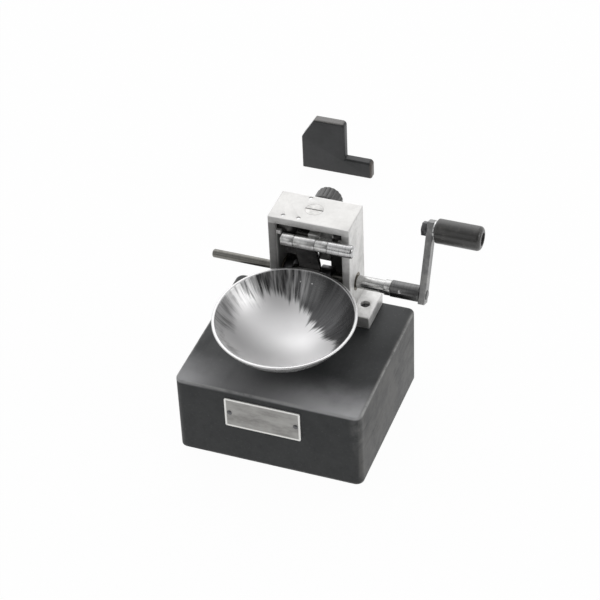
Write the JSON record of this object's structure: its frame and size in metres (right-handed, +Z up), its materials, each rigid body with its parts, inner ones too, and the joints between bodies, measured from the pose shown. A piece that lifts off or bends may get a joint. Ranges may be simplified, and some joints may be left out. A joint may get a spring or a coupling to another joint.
{
  "type": "liquid limit device",
  "caption": "Soil liquid limit tester: polished bowl hinged on a cast post, lifted and dropped by a hand crank and cam onto a hard rubber base, with its grooving tool.",
  "frame": {"origin": "middle of the base's underside", "axes": "+X to the crank, +Y from the cup to the post, +Z up"},
  "size_m": [0.2104, 0.3511, 0.141],
  "materials": {
    "base_rubber": "hard moulded rubber, satin, slightly mottled",
    "plate_metal": "plain rolled sheet, bare",
    "cast_alloy": "fine satin casting, milled faces",
    "dark_steel": "oiled, turned or sawn",
    "bush_bronze": "plain turned",
    "bright_steel": "ground and plated",
    "polished_bowl": "polished inside with fine wear",
    "black_plastic": "moulded, glossy",
    "black_enamel": "dark stoved finish with worn edges"
  },
  "bodies": {
    "stand": {"base_block": "base_rubber", "nameplate": "plate_metal", "nameplate_rivets": "plate_metal", "support_block": "cast_alloy", "support_block_screws": "dark_steel", "shaft_bush_left": "bush_bronze", "shaft_bush_right": "bush_bronze", "carriage_lock_screw": "bright_steel", "top_grub_screws": "dark_steel"},
    "adjuster": {"adjusting_screw": "bright_steel", "adjusting_screw_ring": "dark_steel", "adjusting_knob": "black_plastic", "knob_grub_screw": "dark_steel"},
    "carriage": {"hinge_carriage": "bright_steel"},
    "hinge_pin": {"hinge_pin": "bright_steel"},
    "cup": {"cup": "polished_bowl", "cup_hanger": "bright_steel", "hanger_rivets": "bright_steel"},
    "crank": {"drive_shaft": "bright_steel", "drop_cam": "dark_steel", "cam_grub_screw": "dark_steel", "shaft_collar": "dark_steel", "collar_grub_screw": "dark_steel", "shaft_sleeve": "bright_steel", "sleeve_ring": "bright_steel", "crank_hub": "dark_steel", "crank_hub_pin": "bright_steel", "crank_arm": "dark_steel", "handle_spindle": "bright_steel", "spindle_nut": "dark_steel", "handle_washer": "bright_steel"},
    "grip": {"handle_grip": "black_plastic"},
    "tool": {"grooving_tool": "black_enamel"}
  },
  "joints": [
    {"name": "adjusting_knob_turn", "type": "hinge", "parent": "stand", "child": "adjuster", "pos_m": [0, 0.0595, 0.131], "axis": [0, 1, 0], "range_deg": [-360, 360]},
    {"name": "carriage_slide", "type": "slide", "parent": "stand", "child": "carriage", "axis": [0, 1, 0], "range_m": [-0.001, 0.001]},
    {"name": "hinge_pin_pull", "type": "slide", "parent": "carriage", "child": "hinge_pin", "axis": [1, 0, 0], "range_m": [0, 0.038]},
    {"name": "cup_swing", "type": "hinge", "parent": "carriage", "child": "cup", "pos_m": [0, 0.0235, 0.129], "axis": [-1, 0, 0], "range_deg": [-12.6, 75]},
    {"name": "crank_turn", "type": "hinge", "parent": "stand", "child": "crank", "pos_m": [0, 0.0435, 0.088], "axis": [1, 0, 0], "continuous": true},
    {"name": "grip_spin", "type": "hinge", "parent": "crank", "child": "grip", "pos_m": [0.0965, 0.06073, 0.13065], "axis": [1, 0, 0], "continuous": true},
    {"name": "tool_lift", "type": "slide", "parent": "stand", "child": "tool", "axis": [0, 0, 1], "range_m": [0, 0.08]}
  ],
  "couplings": [
    {"joint": "adjusting_knob_turn", "follows": "carriage_slide", "rad_per_m": 6283.2}
  ]
}
